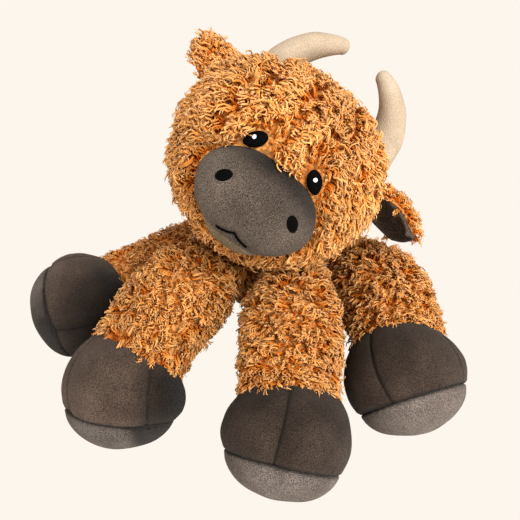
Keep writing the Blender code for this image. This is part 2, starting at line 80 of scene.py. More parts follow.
# Stitched features
eye_half_length = 0.0081
eye_half_width = 0.0051
eye_spread = 0.0215
eye_rise = 0.0010
eye_slant = radians(45)
nostril_half_length = 0.0057
nostril_half_width = 0.0038
nostril_spread = 0.0250
nostril_rise = 0.0030
nostril_slant = radians(40)
mouth_half_width = 0.0118
mouth_peak = 0.0022
mouth_above_edge = 0.0050
mouth_thread = 0.0007
mouth_sink = 0.0003
mouth_crease_depth = 0.0012
mouth_crease_width = 0.0016
eye_thickness = 0.0026
nostril_thickness = 0.0011
nostril_outset = 0.0004
glint_half = (0.0015, 0.0015, 0.0010)
glint_aside = Vector((-0.0016, 0, 0.0014))
glint_outset = 0.0021

# Horns
horn_shift = 0.0070
horn_spread = 0.0001
horn_rise = 0.0469
horn_arc = 0.0462
horn_base_radius = 0.0138
horn_middle_radius = 0.0114
horn_tip_radius = 0.0054
horn_start = radians(-14)
horn_end = radians(67)
horn_sink = radians(8)
horn_setback = 0.0020
horn_softness = 0.0008

# Ears
ear_length = 0.0420
ear_start = 0.0020
ear_root_arch = 0.0185
ear_mid_arch = 0.0200
ear_tip_arch = 0.0105
ear_arch_angle = radians(62)
ear_middle = -0.0123
ear_outset = 0.0052
ear_root_tuck = 0.0060

# The two layers of an ear, each from its inner face to its outer one, measured from where they meet
ear_back_faces = (0.0001, 0.0014)
ear_lining_faces = (-0.0022, -0.0001)
ear_lining_flare = radians(12)

# Legs and hooves
root_radius = 0.0250
leg_radius = 0.0355
pressed_leg_radius = 0.0315
hem_radius = 0.0335
front_leg_length = 0.1100
hind_leg_length = 0.1060
hoof_radius = 0.0425
hoof_hem_radius = 0.0330
hoof_length = 0.0660
sole_seam_radius = 0.0390
sole_dome = 0.0240
sole_seam_at = hoof_length - sole_dome
hoof_sides = 176

# A hoof's stuffing and seams: how far its gores rise between their seams, the depths and widths of the
# grooves and of the valleys round them, the puckers along the sole's seam, how uneven the stuffing is, and
# how high up the floor flattens it
gore_puff = 0.0016
gore_groove_depth = 0.0015
gore_valley_depth = 0.0007
upper_tuck_depth = 0.0014
sole_tuck_depth = 0.0013
tuck_valley_depth = 0.0006
groove_width = 0.0009
valley_width = 0.0050
pucker_depth = 0.00045
pucker_reach = 0.0030
puckers_round = 40
upper_softness = 0.0015
upper_fine_softness = 0.0006
sole_side_softness = 0.0010
sole_end_softness = 0.0014
floor_gap = 0.0001
sole_seam_gap = 0.0001
floor_press_height = 0.0030

# How far the cloth lies inside the CAD covers, whose walls take in the pile, and how far apart its locks grow
pile_inset = 0.0045
body_spacing = 0.0040
head_spacing = 0.0030
ear_spacing = 0.0021
leg_spacing = 0.0033
hem_spacing = 0.0021
tail_spacing = 0.0030

# How deep locks are rooted, where none grow and where they lie flatter: near the floor, by the head, eyes
# and muzzle, along an ear's edge, and at a hem
lock_sink = 0.0006
pile_floor_gap = 0.0002
body_pile_bottom = 0.0035
leg_pile_bottom = 0.0040
body_flat_height = 0.0020
leg_flat_height = 0.0030
floor_reach = 0.0100
head_overlap = 0.0010
muzzle_clearance = 0.0005
eye_clearance = 0.0004
ear_edge = 0.0020
hem_gap = 0.0006
hem_band = 0.0042
hem_comb_reach = 0.0100

# Tail
tail_length = 0.0450
tail_radius = 0.0065
tuft_length = 0.0300
tuft_radius = 0.0110
tuft_tip_radius = 0.0030
tuft_least_radius = 0.0010
tail_pile_inset = 0.0020
tuft_pile_length = 0.0060
tail_fall = radians(30)

# Painted shade and light on the nap: how much darker or paler each gore of a hoof is painted as light falls
# on it, and the darkest that any of the painted shade goes
gore_painted_shades = (0.14, -0.16, 0.06, -0.06)
darkest_seam = -1.35
darkest_nap = -1.45

# Camera, backdrop and floor
camera_lens = 43.06
camera_shift = (0.002, 0.0115)
camera_target = Vector((0.002, -0.052, 0.080))
camera_turn = radians(17)
camera_rise = radians(40)
camera_distance = 0.487
backdrop_colour = (0.984, 0.922, 0.847, 1)
floor_drop = 0.0004

# Where each ear is sewn on the head's side, how it points from there and how its crest leans, in degrees
ear_plans = {
    "right": dict(side=-1, rise=19, set_back=20, lift=36, sweep=26, lean_back=-30),
    "left": dict(side=1, rise=14, set_back=5, lift=-5, sweep=0, lean_back=26),
}

# How each leg lies, in degrees: turns outwards from straight ahead, and falls downwards from level. Then how
# far round it its seams are turned, how pale its hoof and sole are painted, as painted light and shade, and
# where across the hoof the painted shade on the side towards its neighbour begins, and how deep.
leg_plans = {
    "front_leg_left": dict(
        side=1, length=front_leg_length, fullest=leg_radius, hem_rise=0.05449, pile_share=1.0,
        start_turn=11, end_turn=14, end_fall=26, sole_turn=1, sole_fall=38,
        gore_roll=0, hoof_painted_shade=-0.50, sole_painted_shade=0.0, neighbour_shade_start=0.10, neighbour_shade_depth=0.35,
    ),
    "front_leg_right": dict(
        side=-1, length=front_leg_length, fullest=leg_radius, hem_rise=0.05584, pile_share=1.0,
        start_turn=18, end_turn=15, end_fall=31, sole_turn=-5, sole_fall=51,
        gore_roll=42, hoof_painted_shade=0.75, sole_painted_shade=-0.45, neighbour_shade_start=0.32, neighbour_shade_depth=2.2,
    ),
    "hind_leg_left": dict(
        side=1, length=hind_leg_length, fullest=leg_radius, hem_rise=0.04952, pile_share=1.0,
        start_turn=37, end_turn=18, end_fall=14, sole_turn=36, sole_fall=31,
        gore_roll=45, hoof_painted_shade=-0.20, sole_painted_shade=0.25, neighbour_shade_start=0.10, neighbour_shade_depth=0.50,
    ),
    "hind_leg_right": dict(
        side=-1, length=hind_leg_length, fullest=pressed_leg_radius, hem_rise=0.04078, pile_share=0.7,
        start_turn=21, end_turn=33, end_fall=-3, sole_turn=66, sole_fall=13,
        gore_roll=20, hoof_painted_shade=0.50, sole_painted_shade=-0.55, neighbour_shade_start=-0.15, neighbour_shade_depth=1.7,
    ),
}


# Places from the frame

def joint_place(body):
    """Where a body's joint is."""
    return Vector(next(joint["pos_m"] for joint in frame["joints"] if joint["child"] == body))


def rounded(vector, digits):
    """A vector with so few digits that its last one in the frame can't change how the pile grows."""
    return Vector([round(value, digits) for value in vector])


def heading(side, turn, fall):
    """The direction that runs turn outwards from straight ahead and falls below level, in degrees."""
    turn, fall = radians(turn), radians(fall)
    return Vector((side * sin(turn) * cos(fall), -cos(turn) * cos(fall), -sin(fall)))


def leg_run(body):
    """One leg's root, bend and hem, and the directions in which its hem and its sole face."""
    plan = leg_plans[body]
    side = plan["side"]
    half = plan["length"] / 2
    root = joint_place(body)
    end = heading(side, plan["end_turn"], plan["end_fall"])
    sole_way = heading(side, plan["sole_turn"], plan["sole_fall"])
    bend = root + heading(side, plan["start_turn"], 0) * half
    bend.z = plan["hem_rise"] - end.z * half
    hem = bend + end * half
    places = [rounded(place, 4) for place in (root, bend, hem)]
    ways = [rounded(way, 3).normalized() for way in (end, sole_way)]
    return places + ways


head_centre = rounded(joint_place("head"), 4)
tail_root = rounded(joint_place("tail"), 4)


# Geometry

def head_place():
    """The head's frame: it faces its own -Y, with its crown at its own +Z."""
    turned = (
        Matrix.Rotation(head_turn, 4, "Z") @ Matrix.Rotation(-head_pitch, 4, "X")
        @ Matrix.Rotation(head_roll, 4, "Y")
    )
    return Matrix.Translation(head_centre) @ turned


head_at = head_place()


def frame_along(centre, direction, up=Vector((0, 0, 1))):
    """A matrix at centre whose Z runs along direction, with Y as near to up as it can be."""
    along = Vector(direction).normalized()
    side = up.cross(along).normalized()
    turned = Matrix((side, along.cross(side), along)).transposed().to_4x4()
    return Matrix.Translation(centre) @ turned


def ease(share):
    return share * share * (3 - 2 * share)


def rising(value, start, reach):
    """Runs smoothly from 0 to 1 while value goes on by reach from start."""
    return ease(max(0, min(1, (value - start) / reach)))


def shares(steps):
    """Even steps from 0 to 1, both included."""
    return [index / steps for index in range(steps + 1)]


def dip(gap, width):
    """1 on a seam, and less and less away from it, over about two widths."""
    return exp(-(gap / width) ** 2)


def swell(start, middle, end, share):
    """A size that runs smoothly from start, through middle halfway, to end."""
    before = (1 - share) * (1 - 2 * share)
    halfway = 4 * share * (1 - share)
    after = share * (2 * share - 1)
    return start * before + middle * halfway + end * after


def leg_swell(fullest, share):
    """A leg's radius: it leaves its root gently, is fullest halfway and then runs to its hem."""
    if share < 0.5:
        return root_radius + (fullest - root_radius) * ease(2 * share)
    return fullest + (hem_radius - fullest) * ease(2 * share - 1)


def new_piece(name, bm, material, place=None):
    """A smooth-shaded piece at the origin from a bmesh in the given frame."""
    if place is not None:
        bmesh.ops.transform(bm, matrix=place, verts=bm.verts)
    bmesh.ops.recalc_face_normals(bm, faces=bm.faces)
    mesh = bpy.data.meshes.new(name)
    bm.to_mesh(mesh)
    bm.free()
    mesh.shade_smooth()
    mesh.materials.append(material)
    made = bpy.data.objects.new(name, mesh)
    bpy.context.collection.objects.link(made)
    return made


def ring_skin(rings, sides, cap_start=True, cap_end=True):
    """A skin through rings, each a matrix that places and sizes a unit circle."""
    bm = bmesh.new()
    bmesh.ops.create_circle(bm, segments=sides, radius=1, cap_ends=False)
    first = list(bm.edges)
    front = first
    bmesh.ops.transform(bm, matrix=rings[0], verts=bm.verts)
    for before, after in zip(rings, rings[1:]):
        grown = bmesh.ops.extrude_edge_only(bm, edges=front)["geom"]
        verts = [item for item in grown if isinstance(item, bmesh.types.BMVert)]
        kept = set(verts)
        front = [
            item for item in grown
            if isinstance(item, bmesh.types.BMEdge) and all(vert in kept for vert in item.verts)
        ]
        bmesh.ops.transform(bm, matrix=after @ before.inverted(), verts=verts)
    if cap_start:
        bmesh.ops.contextual_create(bm, geom=first)
    if cap_end:
        bmesh.ops.contextual_create(bm, geom=front)
    return bm


def sized(place, radius):
    return place @ Matrix.Diagonal((radius, radius, radius, 1))


def ring_at(centre, along, radius, up=Vector((0, 0, 1))):
    """A ring of a skin, round centre and square to along."""
    return sized(frame_along(centre, along, up), radius)


def unit(rows, spare=0.0):
    """Each row made one long. A little to spare keeps a row of zeros what it is."""
    return rows / (np.linalg.norm(rows, axis=1, keepdims=True) + spare)


def distances(points, centre, half=1.0):
    """How far points are from a centre, as a share of half, which may differ along each axis."""
    return np.linalg.norm((points - np.array(centre)) / np.array(half), axis=1)


def lumps(point, scale, seed):
    """Smooth unevenness between about -1 and 1, that changes over about one scale."""
    return noise.noise(point / scale + Vector((seed * 7.3, seed * 3.1, seed * 5.7)))


def ball(half, sides, centre=(0, 0, 0)):
    bm = bmesh.new()
    bmesh.ops.create_uvsphere(bm, u_segments=sides, v_segments=sides // 2, radius=1)
    bmesh.ops.scale(bm, vec=half, verts=bm.verts)
    bmesh.ops.translate(bm, vec=centre, verts=bm.verts)
    return bm


# Materials

def node_tree(name):
    made = bpy.data.materials.new(name)
    made.use_nodes = True
    tree = made.node_tree
    return made, tree, tree.nodes["Principled BSDF"]


def set_values(node, values):
    for name, value in values.items():
        node.inputs[name].default_value = value


def ramp(tree, factor, stops):
    """Colours that change with a value, through stops that are each a value and its colour."""
    made = tree.nodes.new("ShaderNodeValToRGB")
    points = made.color_ramp.elements
    while len(points) < len(stops):
        points.new(0.5)
    for point, (at, colour) in zip(points, stops):
        point.position = at
        point.color = (*colour, 1)
    tree.links.new(factor, made.inputs["Fac"])
    return made.outputs["Color"]


def mixed(tree, factor, first, second, way="MIX"):
    """Blends two colours, each given as values or as another node's output."""
    made = tree.nodes.new("ShaderNodeMix")
    made.data_type = "RGBA"
    made.blend_type = way
    for socket, value in ((made.inputs["Factor"], factor), (made.inputs[6], first), (made.inputs[7], second)):
        if isinstance(value, bpy.types.NodeSocket):
            tree.links.new(value, socket)
        else:
            socket.default_value = value if isinstance(value, float) else (*value, 1)
    return made.outputs[2]


def noise_value(tree, scale, detail=2.0, roughness=0.5):
    place = tree.nodes.new("ShaderNodeTexCoord")
    made = tree.nodes.new("ShaderNodeTexNoise")
    set_values(made, {"Scale": scale, "Detail": detail, "Roughness": roughness})
    tree.links.new(place.outputs["Object"], made.inputs["Vector"])
    return made.outputs["Fac"]


def attribute(tree, name):
    made = tree.nodes.new("ShaderNodeAttribute")
    made.attribute_name = name
    return made


def raise_by(tree, shader, height, strength, distance):
    """Lets a value stand off the surface as fine relief."""
    raised = tree.nodes.new("ShaderNodeBump")
    set_values(raised, {"Strength": strength, "Distance": distance})
    tree.links.new(height, raised.inputs["Height"])
    tree.links.new(raised.outputs["Normal"], shader.inputs["Normal"])


def pile_material():
    """Wavy fibres: dark at their roots as painted shade deep in the pile, caramel along their length and pale
    at their tips.
    """
    made, tree, shader = node_tree("caramel_pile")
    parts = tree.nodes.new("ShaderNodeSeparateColor")
    tree.links.new(attribute(tree, "fibre").outputs["Color"], parts.inputs["Color"])
    along = ramp(tree, parts.outputs["Red"], (
        (0.00, (0.450, 0.048, 0.002)),
        (0.30, (0.620, 0.168, 0.013)),
        (0.68, (0.785, 0.365, 0.092)),
        (1.00, (0.870, 0.490, 0.205)),
    ))
    tone = ramp(tree, parts.outputs["Green"], (
        (0.0, (0.58, 0.44, 0.32)), (0.4, (0.88, 0.82, 0.75)), (1.0, (1.0, 1.0, 1.0)),
    ))
    # Blue: random patches of tone, multiplied by each part's painted shade and light.
    patches_and_painted_shade = ramp(tree, parts.outputs["Blue"], ((0.0, (0.78, 0.78, 0.82)), (1.0, (1.0, 1.0, 1.0))))
    toned = mixed(tree, 1.0, along, tone, "MULTIPLY")
    tree.links.new(mixed(tree, 1.0, toned, patches_and_painted_shade, "MULTIPLY"), shader.inputs["Base Color"])
    set_values(shader, {
        "Subsurface Weight": 0.15, "Subsurface Radius": (0.6, 0.8, 1.0), "Subsurface Scale": 0.0020,
        "Roughness": 0.90, "Specular IOR Level": 0.0,
    })
    return made


def nap_material(name, dark, light, sheen=0.05, grain=1750.0, contrast=0.80, bump=1.0):
    """Short dense nap: fine grain over slow, cloudy changes, darker or paler by the painted shade, light and
    mottling on each vertex.
    """
    made, tree, shader = node_tree(name)
    cloudy = ramp(tree, noise_value(tree, 42.0, 2.0, 0.5), ((0.30, dark), (0.70, light)))
    grains = noise_value(tree, grain, 1.0, 0.6)
    speckle = ramp(tree, grains, ((0.38, (1 - contrast,) * 3), (0.62, (1.0, 1.0, 1.0))))
    grained = mixed(tree, 1.0, cloudy, speckle, "MULTIPLY")
    # Painted shade and light: each vertex's value darkens or lightens the nap.
    strength = tree.nodes.new("ShaderNodeMath")
    strength.operation = "MULTIPLY_ADD"
    tree.links.new(attribute(tree, "painted_shade_and_mottle").outputs["Fac"], strength.inputs[0])
    strength.inputs[1].default_value = 0.6
    strength.inputs[2].default_value = 1.0
    with_painted_shade = tree.nodes.new("ShaderNodeVectorMath")
    with_painted_shade.operation = "SCALE"
    tree.links.new(grained, with_painted_shade.inputs[0])
    tree.links.new(strength.outputs["Value"], with_painted_shade.inputs["Scale"])
    tree.links.new(with_painted_shade.outputs["Vector"], shader.inputs["Base Color"])
    raise_by(tree, shader, grains, bump, 0.0010)
    set_values(shader, {
        "Roughness": 0.90, "Specular IOR Level": 0.12,
        "Sheen Weight": sheen, "Sheen Roughness": 0.45, "Sheen Tint": (1.0, 0.95, 0.92, 1),
    })
    return made


def thread_material(name, colour, roughness):
    """Satin stitches: close parallel threads, with painted shade between them."""
    made, tree, shader = node_tree(name)
    place = tree.nodes.new("ShaderNodeTexCoord")
    rows = tree.nodes.new("ShaderNodeTexWave")
    set_values(rows, {"Scale": 420.0, "Distortion": 1.5, "Detail": 1.0})
    tree.links.new(place.outputs["Object"], rows.inputs["Vector"])
    # Painted shade: the rows between threads are drawn darker.
    between = tuple(value * 0.7 for value in colour)
    painted_shade = ramp(tree, rows.outputs["Fac"], ((0.0, between), (1.0, colour)))
    tree.links.new(painted_shade, shader.inputs["Base Color"])
    raise_by(tree, shader, rows.outputs["Fac"], 0.25, 0.0003)
    set_values(shader, {"Roughness": roughness, "Specular IOR Level": 0.03})
    return made


pile = pile_material()
backing = nap_material(
    "pile_backing", (0.42, 0.130, 0.024), (0.78, 0.36, 0.105), sheen=0.0, grain=430.0, contrast=0.65,
)
hoof_nap = nap_material("charcoal_plush", (0.050, 0.033, 0.025), (0.088, 0.062, 0.048))
# Paler and greyer than the upper's nap: partly the sole's own colour, partly painted light on soles that face
# the lamp.
sole_nap = nap_material("sole_plush", (0.160, 0.130, 0.116), (0.220, 0.188, 0.172))
muzzle_nap = nap_material("muzzle_plush", (0.104, 0.080, 0.065), (0.140, 0.111, 0.091))
chin_nap = nap_material("chin_plush", (0.17, 0.125, 0.07), (0.26, 0.20, 0.12), sheen=0.1)
horn_nap = nap_material(
    "cream_plush", (0.380, 0.300, 0.216), (0.455, 0.374, 0.284),
    sheen=0.0, grain=1400.0, contrast=0.22, bump=0.6,
)
lining_nap = nap_material("lining_plush", (0.080, 0.060, 0.048), (0.155, 0.120, 0.098))
black_thread = thread_material("black_thread", (0.0012, 0.0012, 0.0014), 0.75)
white_thread = thread_material("white_thread", (0.90, 0.90, 0.88), 0.5)


# Long pile

fibre_stations = np.array((0.0, 0.15, 0.29, 0.42, 0.54, 0.66, 0.78, 0.90, 1.0))
fibre_widths = np.array((0.85, 1.0, 1.0, 1.0, 1.0, 0.95, 0.85, 0.65, 0.0))
points_in_fibre = (len(fibre_stations) - 1) * 3 + 1
fibres_in_lock = 4
lock_kinds = 28
locks_in_piece = 1050


def fibre_faces():
    """Triangles of one fibre: three sides between rings, a closed root and a pointed tip."""
    rings = len(fibre_stations) - 1
    faces = [(2, 1, 0)]
    for ring in range(rings - 1):
        for side in range(3):
            a = ring * 3 + side
            b = ring * 3 + (side + 1) % 3
            faces += [(a, b, b + 3), (a, b + 3, a + 3)]
    tip = rings * 3
    last = tip - 3
    faces += [(last + side, last + (side + 1) % 3, tip) for side in range(3)]
    return np.array(faces)


def fibre_rings(centre, radius, spin):
    """A fibre's points: three round each station, and one at its tip."""
    along = unit(np.gradient(centre, axis=0))
    side = unit(np.cross(along, (0.1, 1.0, 0.15)))
    over = np.cross(along, side)
    points = []
    for ring in range(len(fibre_stations) - 1):
        for corner in range(3):
            turn = spin + corner * 2 * pi / 3
            points.append(centre[ring] + radius[ring] * (cos(turn) * side[ring] + sin(turn) * over[ring]))
    return points + [centre[-1]]


def lock_shapes(length, curl, turns, spread, width, stand, seed):
    """Several locks of curly fibres, lying over +X from the origin, with +Z off the cloth.

    Returns their points, how far along its fibre each point is, and each fibre's own tone.
    """
    rng = np.random.default_rng(seed)
    shapes = []
    tones = []
    fine = np.linspace(0, 1, 49)
    for kind in range(lock_kinds):
        lock_phase = rng.uniform(0, 2 * pi)
        lock_turns = turns * rng.uniform(0.7, 1.3)
        lock_curl = curl * rng.uniform(0.7, 1.3)
        lock_bend = rng.uniform(-1.1, 1.1)
        points = []
        tone = []
        for fibre in range(fibres_in_lock):
            out = spread * sqrt(rng.uniform(0, 1))
            turn = rng.uniform(0, 2 * pi)
            root = np.array((out * cos(turn), out * sin(turn), -lock_sink))
            reach = length * rng.uniform(0.75, 1.15)
            angle = stand * rng.uniform(0.80, 1.15) * (1 - fine) ** 0.9 + radians(4)
            aside = lock_bend * fine + rng.uniform(-0.30, 0.30)
            step = reach / (len(fine) - 1)
            x = np.cumsum(np.cos(angle) * np.cos(aside)) * step
            y = np.cumsum(np.cos(angle) * np.sin(aside)) * step
            z = np.cumsum(np.sin(angle)) * step
            phase = lock_phase + rng.uniform(-0.5, 0.5) + 2 * pi * lock_turns * rng.uniform(0.9, 1.15) * fine
            swing = lock_curl * rng.uniform(0.75, 1.25) * np.minimum(1, fine * 2.5)
            x = x + 0.45 * swing * np.sin(phase + 1.1)
            y = y + swing * np.sin(phase)
            z = z + 0.75 * swing * np.cos(phase)
            draw = 1 - 0.55 * fine
            path = np.stack((x + root[0] * draw, y + root[1] * draw, z + root[2]), axis=1)
            centre = np.stack([np.interp(fibre_stations, fine, path[:, axis]) for axis in range(3)], axis=1)
            radius = width / 2 * rng.uniform(0.8, 1.25) * fibre_widths
            points += fibre_rings(centre, radius, rng.uniform(0, 2 * pi))
            tone.append(rng.uniform(-0.22, 0.22))
        shapes.append(points)
        tones.append(np.repeat(tone, points_in_fibre))
    along = np.concatenate((np.repeat(fibre_stations[:-1], 3), fibre_stations[-1:]))
    return np.array(shapes), np.tile(along, fibres_in_lock), np.array(tones)


def skin_triangles(mesh):
    """A skin's triangles as rows of point numbers, sorted so that every run samples them alike."""
    rows = []
    for face in mesh.polygons:
        corners = list(face.vertices)
        first = corners.index(min(corners))
        corners = corners[first:] + corners[:first]
        rows += [(corners[0], corners[k], corners[k + 1]) for k in range(1, len(corners) - 1)]
    return np.array(sorted(rows))


def point_rows(mesh, key):
    rows = np.zeros(len(mesh.vertices) * 3)
    mesh.vertices.foreach_get(key, rows)
    return rows.reshape(-1, 3)


def skin_samples(skin, spacing, seed):
    """Points spread over a skin, no two nearer than one spacing, and the skin's normals there."""
    rng = np.random.default_rng(seed)
    mesh = skin.data
    corners = skin_triangles(mesh)
    place = point_rows(mesh, "co")
    facing = point_rows(mesh, "normal")
    a, b, c = (place[corners[:, k]] for k in range(3))
    area = np.linalg.norm(np.cross(b - a, c - a), axis=1) / 2
    tries = int(area.sum() / spacing ** 2 * 6)
    chosen = rng.choice(len(corners), size=tries, p=area / area.sum())
    u = np.sqrt(rng.uniform(0, 1, tries))
    v = rng.uniform(0, 1, tries)
    weights = np.stack((1 - u, u * (1 - v), u * v), axis=1)
    points = np.einsum("nk,nkc->nc", weights, place[corners[chosen]])
    normals = unit(np.einsum("nk,nkc->nc", weights, facing[corners[chosen]]))
    cells = {}
    kept = []
    steps = [(i, j, k) for i in (-1, 0, 1) for j in (-1, 0, 1) for k in (-1, 0, 1)]
    places = np.floor(points / spacing).astype(int).tolist()
    for index, (point, cell) in enumerate(zip(points.tolist(), places)):
        near = [
            other for step in steps
            for other in cells.get((cell[0] + step[0], cell[1] + step[1], cell[2] + step[2]), ())
        ]
        if all(sum((p - q) ** 2 for p, q in zip(point, other)) >= spacing ** 2 for other in near):
            cells.setdefault(tuple(cell), []).append(point)
            kept.append(index)
    return points[kept], normals[kept]


def flow(points, scale, seed):
    """A smooth direction at each point, that wanders over about one scale."""
    rng = np.random.default_rng(seed)
    total = np.zeros_like(points)
    for wave in range(7):
        across = rng.normal(size=3)
        across /= np.linalg.norm(across) * scale * rng.uniform(0.7, 1.6)
        total += np.sin(points @ across * 2 * pi + rng.uniform(0, 2 * pi))[:, None] * rng.normal(size=3)
    return total / 2.6


def plant(body, name, points, normals, comb, lengths, lifts, locks, painted_shade, seed):
    """Grows locks at the given points, in as many pieces as their number asks for."""
    parts = -(-len(points) // locks_in_piece)
    order = np.argsort(points[:, 0])
    for index, chosen in enumerate(np.array_split(order, parts)):
        part_name = name if parts == 1 else name + "_" + str(index + 1)
        fur = plant_part(
            part_name, points[chosen], normals[chosen], comb[chosen], lengths[chosen], lifts[chosen],
            locks, painted_shade, seed + 100 * index,
        )
        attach(fur, body)


def lock_faces(mirrored):
    """Faces of one lock after another, turned over where a lock is mirrored."""
    one = np.concatenate([fibre_faces() + points_in_fibre * fibre for fibre in range(fibres_in_lock)])
    faces = one[None, :, :] + (np.arange(len(mirrored)) * points_in_fibre * fibres_in_lock)[:, None, None]
    faces[mirrored] = faces[mirrored][:, :, ::-1]
    return faces.reshape(-1, 3)


def triangle_mesh(name, verts, faces):
    mesh = bpy.data.meshes.new(name)
    mesh.vertices.add(len(verts))
    mesh.vertices.foreach_set("co", verts.ravel())
    mesh.loops.add(len(faces) * 3)
    mesh.loops.foreach_set("vertex_index", faces.ravel())
    mesh.polygons.add(len(faces))
    mesh.polygons.foreach_set("loop_start", np.arange(0, len(faces) * 3, 3))
    mesh.update(calc_edges=True)
    mesh.shade_smooth()
    return mesh


def plant_part(name, points, normals, comb, lengths, lifts, locks, painted_shade, seed):
    """Stamps locks over the given points, combed as asked, as one piece."""
    rng = np.random.default_rng(seed)
    shapes, along, tones = locks
    count = len(points)
    comb = unit(comb - normals * np.sum(comb * normals, axis=1, keepdims=True), 1e-9)
    aside = np.cross(normals, comb)
    aside *= rng.choice((-1.0, 1.0), size=count)[:, None]
    kind = rng.integers(0, lock_kinds, count)
    shape = shapes[kind]
    x = shape[:, :, 0] * lengths[:, None]
    y = shape[:, :, 1] * lengths[:, None]
    z = shape[:, :, 2] * (lengths * lifts)[:, None]
    verts = (
        points[:, None, :] + x[:, :, None] * comb[:, None, :] + y[:, :, None] * aside[:, None, :]
        + z[:, :, None] * normals[:, None, :]
    ).reshape(-1, 3)
    verts[:, 2] = np.maximum(verts[:, 2], pile_floor_gap)
    mirrored = np.sum(np.cross(comb, aside) * normals, axis=1) < 0
    mesh = triangle_mesh(name, verts, lock_faces(mirrored))

    # Blue: random patches of tone plus the part's painted shade, darker on the body, legs and tail and paler
    # on the head and ears. The dullest tone also falls with the painted shade.
    patches_and_painted_shade = np.clip(0.5 + painted_shade + flow(points, 0.045, 91)[:, 0] * 0.4, 0, 1)
    dullest = 0.45 + 0.6 * min(0, painted_shade)
    tone = np.clip(rng.uniform(dullest, 0.95, count)[:, None] + tones[kind], 0, 1)
    fibre = np.ones((count, points_in_fibre * fibres_in_lock, 4))
    fibre[:, :, 0] = along[None, :]
    fibre[:, :, 1] = tone
    fibre[:, :, 2] = patches_and_painted_shade[:, None]
    layer = mesh.attributes.new("fibre", "FLOAT_COLOR", "POINT")
    layer.data.foreach_set("color", fibre.ravel())
    mesh.materials.append(pile)
    made = bpy.data.objects.new(name, mesh)
    bpy.context.collection.objects.link(made)
    return made


head_locks = lock_shapes(
    length=0.0140, curl=0.0017, turns=2.0, spread=0.0021, width=0.00142, stand=radians(58), seed=11,
)
leg_locks = lock_shapes(
    length=0.0120, curl=0.0016, turns=1.9, spread=0.0023, width=0.00132, stand=radians(60), seed=12,
)


# Body

def make_body():
    half = body_length / 2
    bm = ball((body_width / 2 - pile_inset, body_depth / 2 - pile_inset, half - pile_inset), 64)
    for vert in bm.verts:
        taper = 1 - body_taper * vert.co.z / body_length
        vert.co.x *= taper
        vert.co.y *= taper
    bmesh.ops.translate(bm, vec=(0, 0, half), verts=bm.verts)
    bmesh.ops.transform(bm, matrix=Matrix.Rotation(body_lean, 4, "X"), verts=bm.verts)
    bmesh.ops.translate(bm, vec=body_shift, verts=bm.verts)
    skin = new_piece("body_cloth", bm, backing)
    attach(skin, "torso")
    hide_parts("body_cover", "body_filling")
    points, normals = skin_samples(skin, body_spacing, 21)
    rng = np.random.default_rng(22)
    keep = distances(points, head_centre) > head_radius - head_overlap
    keep &= points[:, 2] > body_pile_bottom
    points, normals = points[keep], normals[keep]
    comb = np.array((0, 0, -1.0)) + flow(points, 0.030, 23) * 1.1 + rng.normal(size=points.shape) * 0.35
    lengths = rng.uniform(0.75, 1.10, len(points))
    lifts = np.clip((points[:, 2] - body_flat_height) / floor_reach, 0.25, 1.0)
    # Painted shade: the body's pile is drawn darker.
    plant("torso", "body_fur", points, normals, comb, lengths, lifts, leg_locks, painted_shade=-0.4, seed=24)


# Head

def to_head(points):
    """Points, or directions if they have no place, in the head's own frame."""
    turn = np.array(head_at.to_3x3())
    return (points - np.array(head_centre)) @ turn


def flat_crown(up):
    """How high a point of the head's ball lies once its crown, between the horns, is flattened."""
    return up * (1 - crown_flat_share * (max(0.0, up) / head_radius) ** 2)


def horn_middle(side, turn):
    """A point of a horn's middle line, turned about the middle of the horn's arc."""
    across = side * (horn_spread + horn_arc * cos(turn))
    return horn_shift + across, horn_setback, horn_rise + horn_arc * sin(turn)


def horn_line(side):
    """Points along a horn's middle, and its radius at each, in the head's own frame."""
    places = []
    for share in np.linspace(0, 1, 25):
        turn = horn_start + (horn_end - horn_start) * share
        radius = swell(horn_base_radius, horn_middle_radius, horn_tip_radius, share)
        places.append((np.array(horn_middle(side, turn)), radius))
    return places


def eye_place(side):
    """An eye's frame on the head: X runs along it to its drawn end, and Z faces out."""
    centre = on_head(side * eye_spread, eye_rise)
    slant = -side * eye_slant + (pi if side < 0 else 0)
    return frame_along(centre * 1.035, centre.normalized()) @ Matrix.Rotation(slant, 4, "Z")


def on_head(across, up):
    ahead = sqrt(head_radius ** 2 - across ** 2 - up ** 2)
    return Vector((across, -ahead, up))


def in_muzzle_share(local):
    """How far points of the head are from the muzzle's middle: 1 at its cloth, and more outside."""
    return np.sqrt(
        (local[:, 0] / (muzzle_half.x + muzzle_clearance)) ** 2
        + ((local[:, 1] + muzzle_forward) / (muzzle_half.y + muzzle_clearance)) ** 2
        + ((local[:, 2] + muzzle_drop) / (muzzle_half.z + muzzle_clearance)) ** 2
    )


def past_nearer_eye(local):
    """How far points of the head are from the nearer eye, 1 at its edge, and the way there from it."""
    past_eye = np.full(len(local), 9.0)
    from_eye = np.zeros_like(local)
    for side in (-1, 1):
        place = eye_place(side)
        away = local - np.array(place.translation)
        across = away @ np.array(place.to_3x3())
        reach = np.hypot(
            across[:, 0] / (eye_half_length + eye_clearance), across[:, 1] / (eye_half_width + eye_clearance),
        )
        nearer = reach < past_eye
        past_eye = np.where(nearer, reach, past_eye)
        from_eye[nearer] = away[nearer]
    return past_eye, from_eye


